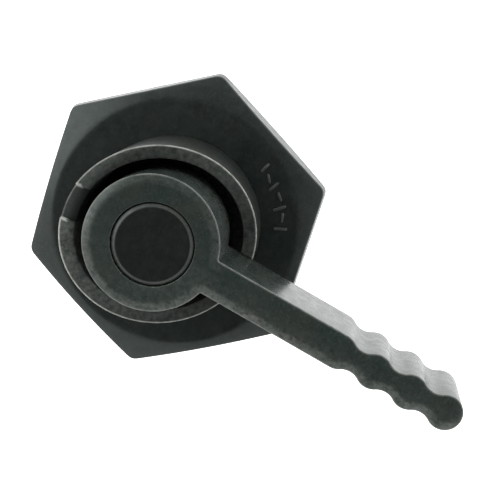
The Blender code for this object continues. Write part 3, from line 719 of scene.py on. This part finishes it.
def make_lever():
    """Hub and arm in one moulding, with the cap's recess on top and a skirt below with the stem's socket."""
    top = LEVER_HIGH.z
    underside = top - LEVER_DEPTH
    levels = lever_levels(underside)
    loops = [[(x, y, height) for x, y in lever_outline(inset)] for inset, height in levels]
    bm, rows = loft(loops, close_first=False, close_last=False)

    # The recess for the cap.
    lip = 0.2 * MM
    flat = levels[-1][1]
    rings = []
    for turn in (0, 0.5, 1.0, math.pi / 2):
        rings.append(circle(CAP_RECESS + lip * (1 - math.sin(turn)), flat - lip * (1 - math.cos(turn)), 96))
    rings.append(circle(CAP_RECESS, CAP_SEAT, 96))
    close_with_well(bm, rows[-1], rings)

    # The skirt inside the collar.
    chamfer = 0.4 * MM
    ends = (
        (SKIRT_RADIUS, underside),
        (SKIRT_RADIUS, LEVER_LOW.z + chamfer),
        (SKIRT_RADIUS - chamfer, LEVER_LOW.z),
    )
    close_with_well(bm, rows[0], [circle(radius, height, 96, HUB_CENTRE) for radius, height in ends])

    lever = new_object("lever_moulding", bm)
    upright = Matrix.Identity(4)
    cut_lathe(lever, round_hole(POCKET_RADIUS, SCREW_FLOOR, top - 3 * MM), upright)
    cut_lathe(lever, round_hole(SCREW_HOLE, SOCKET_TOP - MM, SCREW_FLOOR + MM), upright, 48)
    cut_prism(lever, square(SOCKET_SIDE), LEVER_LOW.z - MM, SOCKET_TOP)

    shoulder = top - CROWN_DROP
    edge_low, edge_high = shoulder - 1.2 * LEVER_EDGE, shoulder + 0.35 * LEVER_EDGE
    deep = top - 16 * MM

    def scuff_and_light(point):
        """Paler along the crown's -Y slope, round the hub's crown and on the -Y side: painted light and
        painted reflection over a rubbed texture. Dusty inside the collar.
        """
        if point.z < deep and point.x < HUB_RADIUS:
            return 0.7
        on_crown = smoothstep(point.z, shoulder, shoulder + 0.05 * MM)
        # Painted reflection: the crown's sloping band on the -Y side and round the hub.
        crown_sheen_band = on_crown * (1 - smoothstep(point.z, flat - 0.2 * MM, flat))
        # Painted light: the -Y side, most of all towards the arm's tip.
        painted_light_side = smoothstep(-point.y, -3 * MM, 3 * MM) * (0.4 + 0.6 * smoothstep(point.x, -15 * MM, 15 * MM))
        on_hub = 0.4 if point.x < HUB_RADIUS else 0.0
        return 0.03 + 0.27 * painted_light_side + 0.85 * crown_sheen_band * max(on_hub, smoothstep(-point.y, 0, MM))

    # Painted highlight: a pale line along the crown's edge fillet, where the edge catches the light.
    paint(lever, "wear_and_highlight", lambda p: 0.25 if edge_low < p.z < edge_high else 0.0)
    paint(lever, "scuff_and_light", scuff_and_light)
    return finish_piece(lever, "lever_set", "lever", "lever")


def make_cap():
    """Cap with a rounded edge, and a short tube below that sits in the lever's pocket."""
    top = CAP_HIGH.z
    tube, tube_bore = 8 * MM, 6.6 * MM
    disc_bottom, ceiling = top - 3.3 * MM, top - 2.2 * MM
    corners = [
        (0, top - 0.12 * MM, 0),
        (CAP_RADIUS - 3.5 * MM, top - 0.08 * MM, 0),
        (CAP_RADIUS - 1.5 * MM, top, 1.2 * MM),
        (CAP_RADIUS, top - 0.8 * MM, 0.8 * MM),
        (CAP_RADIUS, disc_bottom, 0),
        (tube, disc_bottom, 0),
        (tube, CAP_LOW.z, 0.4 * MM),
        (tube_bore, CAP_LOW.z, 0.4 * MM),
        (tube_bore, ceiling, 0),
        (0, ceiling, 0),
    ]
    cap = new_object("cap_moulding", lathe(rounded(corners)))

    # Painted highlight: the rounded edge is made a little paler, where it catches the light.
    def wear_and_highlight(point):
        on_edge = point.z > top - 0.6 * MM and math.hypot(point.x, point.y) > CAP_RADIUS - 1.3 * MM
        return 0.06 if on_edge else 0.0

    paint(cap, "wear_and_highlight", wear_and_highlight)
    paint(cap, "scuff_and_light", lambda p: 0.02)
    return finish_piece(cap, "lever_set", "cap_plug", "cap_plug")


# ---- collar ------------------------------------------------------------------------------------------------

COLLAR_FLOOR = 4.9 * MM
COLLAR_WALL = 4.0 * MM
FLOOR_FILLET = 1.2 * MM
WALL_END = 0.3 * MM
OUTER_EDGE = 0.2 * MM
INNER_EDGE = 0.25 * MM
RIM_MIDDLE = LEVER_HIGH.z - 12.5 * MM
RIM_SLOPE = math.tan(math.radians(22.6))
RIM_CONE = math.tan(math.radians(12))
NOTCH_HALF_WIDTH = 5.4 * MM
NOTCH_OFFSET = 1.5 * MM
NOTCH_DEPTH = 1.6 * MM
SADDLE_HALF_WIDTH = 5.55 * MM
SADDLE_FLOOR = LEVER_HIGH.z - LEVER_DEPTH - 0.3 * MM
STEP_WIDTH = 0.22 * MM
PIN_PITCH = 19.5 * MM
PIN_ANGLE = math.radians(135)
PIN_SLOT_HALF_WIDTH = 2.2 * MM
PIN_SLOT_DEPTH = 3.6 * MM


def make_collar():
    """A cup round the hub. Its rim falls towards the arm, with a notch behind and a saddle under the arm."""
    outer = COLLAR_HIGH.x
    inner = outer - COLLAR_WALL
    bottom = COLLAR_LOW.z
    floor = bottom + COLLAR_FLOOR

    def shifted(angle, radius):
        """The column's angle at this radius: parallel to the arm near its line, radial elsewhere."""
        side = 0.0 if math.cos(angle) > 0 else math.pi
        off = (angle - side + math.pi) % (2 * math.pi) - math.pi
        parallel = math.asin(max(-1.0, min(1.0, outer * math.sin(off) / max(radius, inner))))
        share = smoothstep(abs(off), math.radians(18), math.radians(34))
        return side + parallel + (off - parallel) * share

    def from_notch(y):
        return abs(y + NOTCH_OFFSET)

    def rim_height(x, y):
        height = RIM_MIDDLE - x * RIM_SLOPE - (outer - math.hypot(x, y)) * RIM_CONE
        if x < 0:
            share = 1 - smoothstep(from_notch(y), NOTCH_HALF_WIDTH - STEP_WIDTH, NOTCH_HALF_WIDTH)
            return height - NOTCH_DEPTH * share
        share = 1 - smoothstep(abs(y), SADDLE_HALF_WIDTH - STEP_WIDTH, SADDLE_HALF_WIDTH)
        return height - max(0.0, height - SADDLE_FLOOR) * share

    def rim(angle, radius, below=0.0):
        at = shifted(angle, radius)
        return (radius, rim_height(radius * math.cos(at), radius * math.sin(at)) - below, at)

    def section(angle):
        def low(radius, height):
            return (radius, height, shifted(angle, radius))

        points = [low(0, bottom)]
        for turn in QUARTER_TURN:
            drawn_in, raised = WALL_END * (1 - math.sin(turn)), WALL_END * (1 - math.cos(turn))
            points.append(low(outer - drawn_in, bottom + raised))
        points.append(low(outer, bottom + 6 * MM))
        points += [rim(angle, outer, 2.5 * OUTER_EDGE), rim(angle, outer, 1.3 * OUTER_EDGE)]
        for turn in QUARTER_TURN:
            drawn_in, below = OUTER_EDGE * (1 - math.cos(turn)), OUTER_EDGE * (1 - math.sin(turn))
            points.append(rim(angle, outer - drawn_in, below))
        points += [rim(angle, outer - depth * MM) for depth in (0.5, 1.2, 2.2, 3.2)]
        for turn in QUARTER_TURN:
            drawn_out, below = INNER_EDGE * (1 - math.sin(turn)), INNER_EDGE * (1 - math.cos(turn))
            points.append(rim(angle, inner + drawn_out, below))
        points.append(low(inner, floor + FLOOR_FILLET))
        points.append(low(inner - 0.35 * FLOOR_FILLET, floor + 0.35 * FLOOR_FILLET))
        return points + [low(inner - FLOOR_FILLET, floor), low(0, floor)]

    angles = even_angles(180)
    for i in range(5):
        for edge in (-1, 1):
            saddle_edge = edge * (SADDLE_HALF_WIDTH - STEP_WIDTH * i / 4)
            notch_edge = edge * (NOTCH_HALF_WIDTH - STEP_WIDTH * i / 4) - NOTCH_OFFSET
            angles.append(math.asin(saddle_edge / outer) % (2 * math.pi))
            angles.append(math.pi - math.asin(notch_edge / outer))
    collar = new_object("collar_moulding", turned(sorted(angles), section))

    cut_prism(collar, square(SOCKET_SIDE), bottom - MM, floor + MM)
    reach = PIN_SLOT_HALF_WIDTH / PIN_PITCH
    start, end = PIN_ANGLE - reach, PIN_ANGLE + math.pi / 2 + reach
    sweep = [start + (end - start) * i / 24 for i in range(25)]
    near, far = PIN_PITCH - PIN_SLOT_HALF_WIDTH, PIN_PITCH + PIN_SLOT_HALF_WIDTH
    slot = [(near * math.cos(turn), near * math.sin(turn)) for turn in sweep]
    slot += [(far * math.cos(turn), far * math.sin(turn)) for turn in reversed(sweep)]
    cut_prism(collar, slot, bottom - MM, bottom + PIN_SLOT_DEPTH)

    def light_facing_side(point):
        """1 on the stretch just past the notch, towards -Y, which faces the light, and 0 elsewhere."""
        side = math.degrees(math.atan2(point.y, point.x)) % 360
        return smoothstep(side, 180, 190) * (1 - smoothstep(side, 240, 285))

    def wear_and_highlight(point):
        """Painted highlight over real wear along the rim's outer edge, brightest on the side that faces the
        light, and nicked at the notch's ends.
        """
        radius = math.hypot(point.x, point.y)
        depth = rim_height(point.x, point.y) - point.z
        if radius < inner - 0.1 * MM or depth > 1.6 * OUTER_EDGE:
            return 0.0
        off = from_notch(point.y)
        if point.x < 0 and NOTCH_HALF_WIDTH - 1.2 * STEP_WIDTH < off < NOTCH_HALF_WIDTH + 0.1 * MM:
            return 0.9 * smoothstep(radius, outer - 2.4 * MM, outer - 1.1 * MM)
        if radius < outer - OUTER_EDGE - 0.05 * MM:
            return 0.0
        if point.x < 0 and off < NOTCH_HALF_WIDTH:
            return 0.3
        return 0.65 + 0.35 * light_facing_side(point)

    def scuff_and_light(point):
        """Scuffed along the rim, with painted light making the stretch just past the notch, which faces the
        light, paler still; dusty inside.
        """
        radius = math.hypot(point.x, point.y)
        depth = rim_height(point.x, point.y) - point.z
        if radius < inner + 0.05 * MM and depth > 1.5 * MM:
            return 0.9
        in_notch = point.x < 0 and from_notch(point.y) < NOTCH_HALF_WIDTH - 0.5 * STEP_WIDTH
        if in_notch or depth > 1.6 * OUTER_EDGE:
            return 0.0
        return 0.6 + 0.4 * light_facing_side(point)

    paint(collar, "wear_and_highlight", wear_and_highlight)
    paint(collar, "scuff_and_light", scuff_and_light)
    return finish_piece(collar, "lever_set", "turning_collar", "turning_collar")


# ---- bonnet ------------------------------------------------------------------------------------------------

HEX_ACROSS_FLATS = 83.3 * MM
HEX_CORNER = 3.2 * MM
HEX_THICKNESS = 10.5 * MM
HEX_FACE = 38.5 * MM
HEX_CHAMFER = math.tan(math.radians(20))
HEX_DRAFT = math.tan(math.radians(3))
HEX_TURN = math.radians(11.6)
SPIGOT = 27 * MM
RING_GROOVE_RADIUS = 24.6 * MM
RING_GROOVE_LOW, RING_GROOVE_HIGH = 92 * MM, 94.6 * MM
SHOULDER_BORE = 10.2 * MM
SHOULDER_CEILING = 89.5 * MM
RUNNING_BORE = 7.4 * MM
BUSH_BORE = 10.3 * MM
BUSH_FLOOR = 99.7 * MM
WASHER_RECESS = 15.4 * MM
WASHER_DEPTH = 1.0 * MM
PIN_HOLE = 2.1 * MM
PIN_HOLE_DEPTH = 7.8 * MM
MARK_HALF_WIDTH = 0.45 * MM

# Each mark's place round the axis in degrees, its radius and length in mm, and its own turn in degrees.
MARKS = (
    (61, 33.6, 3.6, 15),
    (55, 33.0, 3.0, 75),
    (50, 33.4, 4.0, 20),
    (44, 34.2, 3.0, 95),
    (38, 33.4, 4.4, 10),
    (33, 34.0, 3.0, 80),
    (27, 33.4, 4.2, 0),
)


def stadium(length, half, inset):
    """Outline of a bar with round ends along X."""
    reach = length / 2 - half
    points = list(arc((reach, 0), half - inset, -math.pi / 2, math.pi / 2, 8))
    return points + list(arc((-reach, 0), half - inset, math.pi / 2, 1.5 * math.pi, 8))


def raised_mark(angle, radius, length, turn, height):
    """A moulded bar that stands a little proud of a level face."""
    levels = ((0.0, -0.3 * MM), (0.0, 0.12 * MM), (0.08 * MM, 0.2 * MM), (0.2 * MM, 0.24 * MM))
    loops = [[(x, y, rise) for x, y in stadium(length, MARK_HALF_WIDTH, inset)] for inset, rise in levels]
    bm, _ = loft(loops)
    outward = Matrix.Rotation(angle, 4, "Z") @ Matrix.Translation((radius, 0, height))
    bmesh.ops.transform(bm, matrix=outward @ Matrix.Rotation(turn, 4, "Z"), verts=bm.verts)
    return bm


def make_bonnet():
    """Chamfered hexagon, with the spigot that enters the body's neck and the bores for stem and bush."""
    top = BONNET_HIGH.z
    bottom = top - HEX_THICKNESS
    lowest = BONNET_LOW.z

    def section(angle):
        reach = hexagon_reach(angle - HEX_TURN, HEX_ACROSS_FLATS, HEX_CORNER)
        lower = [
            (SHOULDER_BORE, lowest),
            (SPIGOT - 0.8 * MM, lowest),
            (SPIGOT, lowest + 0.8 * MM),
            (SPIGOT, RING_GROOVE_LOW),
            (RING_GROOVE_RADIUS, RING_GROOVE_LOW),
            (RING_GROOVE_RADIUS, RING_GROOVE_HIGH),
            (SPIGOT, RING_GROOVE_HIGH),
            (SPIGOT, bottom),
        ]
        side = hexagon_side(reach, bottom, top, HEX_FACE, HEX_CHAMFER, HEX_DRAFT)
        upper = [
            (WASHER_RECESS, top),
            (WASHER_RECESS, top - WASHER_DEPTH),
            (BUSH_BORE, top - WASHER_DEPTH),
            (BUSH_BORE, BUSH_FLOOR),
            (RUNNING_BORE, BUSH_FLOOR),
            (RUNNING_BORE, SHOULDER_CEILING),
            (SHOULDER_BORE, SHOULDER_CEILING),
        ]
        return lower + side + upper

    bonnet = new_object("bonnet_moulding", turned(hexagon_angles(HEX_TURN), section, ring=True))
    pin = Matrix.Rotation(PIN_ANGLE, 4, "Z") @ Matrix.Translation((PIN_PITCH, 0, 0))
    cut_lathe(bonnet, round_hole(PIN_HOLE, top - PIN_HOLE_DEPTH, top + MM), pin, 40)

    for degrees, radius, length, turn in MARKS:
        join(bonnet, raised_mark(math.radians(degrees), radius * MM, length * MM, math.radians(turn), top))

    # Painted highlight over real wear: the raised marks' tops and a thin band along the hexagon's upper edge
    # are made paler.
    def wear_and_highlight(point):
        if point.z > top + 0.15 * MM:
            return 0.09
        reach = hexagon_reach(math.atan2(point.y, point.x) - HEX_TURN, HEX_ACROSS_FLATS, HEX_CORNER)
        return 0.06 if math.hypot(point.x, point.y) > reach - 0.42 * MM and point.z > top - 4.4 * MM else 0.0

    paint(bonnet, "wear_and_highlight", wear_and_highlight)
    paint(bonnet, "scuff_and_light", lambda p: 0.05)
    return finish_piece(bonnet, "valve", "bonnet_nut", "bonnet_nut", sharp=50)


# ---- body, connectors and drain ----------------------------------------------------------------------------

THREAD_PITCH = 2.309 * MM
THREAD_MINOR = 15.2 * MM
THREAD_MAJOR = 16.5 * MM
BARREL = 29.5 * MM
NECK = 34 * MM
SIDE_BOSS_RADIUS = 21.2 * MM
SIDE_BOSS_REACH = 31 * MM
CONNECTOR_BORE = 17 * MM
SEAT_BORE = 14.1 * MM
SEAT_BACK = 21.85 * MM
CHAMBER_RADIUS = 20.8 * MM
CHAMBER_TOP = 85.2 * MM
CHAMBER_DEPTH = 17 * MM
NECK_BORE = 27.4 * MM
DRAIN_BOSS_RADIUS = 8 * MM
DRAIN_BOSS_REACH = 32.8 * MM
DRAIN_BORE = 4 * MM
RIB_ANGLES = (30, 75, 125, 225, 320)
RIB_HALF_WIDTH = 2 * MM
RIB_ROOT = 24 * MM
RIB_LOW, RIB_FULL, RIB_HIGH = 33 * MM, 38 * MM, 88 * MM
LOCK_SCREW_ANGLE = math.radians(200)
LOCK_SCREW_HOLE = 2.3 * MM

TOWARDS_OUTLET = radially(-math.pi / 2, PORT_HEIGHT)
TOWARDS_DRAIN = radially(math.pi, PORT_HEIGHT)
TOWARDS_INLET = Matrix.Translation((0, 0, PORT_HEIGHT)) @ Matrix.Rotation(math.pi, 4, "X")


def rib_outline(outer):
    """Outline of a rib with a round back along X."""
    centre = outer - RIB_HALF_WIDTH
    points = [(RIB_ROOT, -RIB_HALF_WIDTH)]
    points += arc((centre, 0), RIB_HALF_WIDTH, -math.pi / 2, math.pi / 2, 12)
    return points + [(centre, RIB_HALF_WIDTH), (RIB_ROOT, RIB_HALF_WIDTH)]


def make_body():
    """Moulded barrel and neck with ribs, a side boss and a drain boss."""
    bottom, top = BODY_LOW.z, BODY_HIGH.z
    seat_ledge = PORT_HEIGHT - SEAT_BACK
    chamber_low = PORT_HEIGHT - CHAMBER_DEPTH
    profile = rounded(
        [
            (CONNECTOR_BORE, seat_ledge, 0),
            (CONNECTOR_BORE, bottom, 0.4 * MM),
            (24 * MM, bottom, 0.8 * MM),
            (24 * MM, bottom + 4 * MM, 3 * MM),
            (BARREL, bottom + 14 * MM, 5 * MM),
            (BARREL, 83.5 * MM, 3 * MM),
            (NECK, 87.5 * MM, 1.5 * MM),
            (NECK, top, 0.8 * MM),
            (NECK_BORE, top, 0.5 * MM),
            (NECK_BORE, CHAMBER_TOP, 0),
            (CHAMBER_RADIUS, CHAMBER_TOP, 0),
            (CHAMBER_RADIUS, chamber_low, 0),
            (SEAT_BORE, chamber_low, 0),
            (SEAT_BORE, seat_ledge, 0),
        ]
    )
    body = new_object("body_moulding", lathe(profile, 144, ring=True))

    bosses = (
        (SIDE_BOSS_RADIUS, 22 * MM, SIDE_BOSS_REACH, 0.8 * MM, TOWARDS_OUTLET),
        (DRAIN_BOSS_RADIUS, 24 * MM, DRAIN_BOSS_REACH, 0.6 * MM, TOWARDS_DRAIN),
    )
    for radius, start, reach, edge, matrix in bosses:
        corners = [(0, start, 0), (radius, start, 0), (radius, reach, edge), (0, reach, 0)]
        boss = new_object("boss", lathe(rounded(corners), 96))
        boss.data.transform(matrix)
        combine(body, boss, "UNION")

    low = [(x, y, RIB_LOW) for x, y in rib_outline(BARREL - 0.6 * MM)]
    full = rib_outline(NECK - 1.2 * MM)
    for degrees in RIB_ANGLES:
        bm, _ = loft([low, [(x, y, RIB_FULL) for x, y in full], [(x, y, RIB_HIGH) for x, y in full]])
        rib = new_object("rib", bm)
        rib.data.transform(Matrix.Rotation(math.radians(degrees), 4, "Z"))
        combine(body, rib, "UNION")

    cut_lathe(body, round_hole(CHAMBER_RADIUS, chamber_low, CHAMBER_TOP), Matrix.Identity(4))
    side_bore = [(0, 12 * MM), (SEAT_BORE, 12 * MM), (SEAT_BORE, SEAT_BACK), (CONNECTOR_BORE, SEAT_BACK)]
    side_bore += [(CONNECTOR_BORE, SIDE_BOSS_REACH + MM), (0, SIDE_BOSS_REACH + MM)]
    cut_lathe(body, side_bore, TOWARDS_OUTLET)
    cut_lathe(body, round_hole(DRAIN_BORE, 18 * MM, DRAIN_BOSS_REACH + MM), TOWARDS_DRAIN, 48)
    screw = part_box("bonnet_lock_screw")
    lock_height = (screw[0].z + screw[1].z) / 2
    lock_hole = round_hole(LOCK_SCREW_HOLE, SPIGOT, NECK + MM)
    cut_lathe(body, lock_hole, radially(LOCK_SCREW_ANGLE, lock_height), 40)
    paint(body, "wear_and_highlight", lambda p: 0.0)
    paint(body, "scuff_and_light", lambda p: 0.05)
    return finish_piece(body, "valve", "valve_body", "valve_body")


def make_connector(node, matrix, across_flats, back, hex_end, reach, depth):
    """Screwed end piece along +Z from the ball's centre, with a spanner hexagon and an internal thread."""
    front = SEAT_BACK + 0.2 * MM
    shank, groove, throat = CONNECTOR_BORE - 0.3 * MM, 28 * MM, 9.8 * MM
    tail = across_flats / 2 - 0.85 * MM
    run_in = 3 * MM if hex_end == reach else 0.1 * MM

    def section(angle):
        points = [(throat, front), (shank, front), (shank, groove - 1.1 * MM)]
        points += [(shank - 1.4 * MM, groove - 1.1 * MM), (shank - 1.4 * MM, groove + 1.1 * MM)]
        points += [(shank, groove + 1.1 * MM), (shank, back)]
        side = hexagon_reach(angle, across_flats, MM)
        face = across_flats / 2 + 0.2 * MM
        points += hexagon_side(side, back, hex_end, face, 0.6, edge=0.4 * MM, soft=0.3 * MM, run_in=run_in)
        if hex_end < reach:
            end = [(tail, hex_end, 0), (tail, reach, 0.8 * MM), (THREAD_MAJOR + 0.9 * MM, reach, 0)]
            points += rounded(end)
        points += [(THREAD_MAJOR + 0.8 * MM, reach), (THREAD_MAJOR, reach - 1.3 * MM)]
        return points + [(THREAD_MAJOR, reach - depth), (throat, reach - depth)]

    connector = new_object(f"{node}_moulding", turned(hexagon_angles(0.0), section, ring=True))
    thread_low, thread_high = reach - depth + 1.5 * MM, reach - 2.2 * MM
    join(connector, thread(THREAD_MAJOR, THREAD_MINOR, THREAD_PITCH, thread_low, thread_high))
    connector.data.transform(matrix)
    paint(connector, "wear_and_highlight", lambda p: 0.0)
    paint(connector, "scuff_and_light", lambda p: 0.07)
    return finish_piece(connector, "valve", "valve_body", node)


def make_drain_plug():
    """A small hexagon screw with a dished head."""
    reach = -DRAIN_LOW.x
    head_low = reach - 4.2 * MM
    shank_end = -DRAIN_HIGH.x
    shank, tip_chamfer = 3.6 * MM, 0.3 * MM

    def section(angle):
        points = [(0, shank_end), (shank - tip_chamfer, shank_end)]
        points += [(shank, shank_end + tip_chamfer), (shank, head_low)]
        side = hexagon_reach(angle, 11 * MM, 0.4 * MM)
        points += hexagon_side(
            side, head_low, reach, 5.6 * MM, 0.55, edge=0.25 * MM, soft=0.2 * MM, run_in=MM
        )
        return points + [(1.9 * MM, reach), (1.5 * MM, reach - 0.35 * MM), (0, reach - 0.35 * MM)]

    plug = new_object("drain_plug_moulding", turned(hexagon_angles(0.0, 14), section))
    plug.data.transform(TOWARDS_DRAIN)
    paint(plug, "wear_and_highlight", lambda p: 0.0)
    paint(plug, "scuff_and_light", lambda p: 0.12)
    return finish_piece(plug, "valve", "drain_plug", "drain_plug")


dress_frame()
make_lever()
make_cap()
make_collar()
make_bonnet()
make_body()
inlet_shoulder = PORT_HEIGHT - 20 * MM
make_connector("inlet_connector", TOWARDS_INLET, 46 * MM, inlet_shoulder, PORT_HEIGHT, PORT_HEIGHT, 19 * MM)
make_connector("outlet_connector", TOWARDS_OUTLET, 40.3 * MM, 31.3 * MM, 41 * MM, -CONNECTOR_LOW.y, 15.5 * MM)
make_drain_plug()
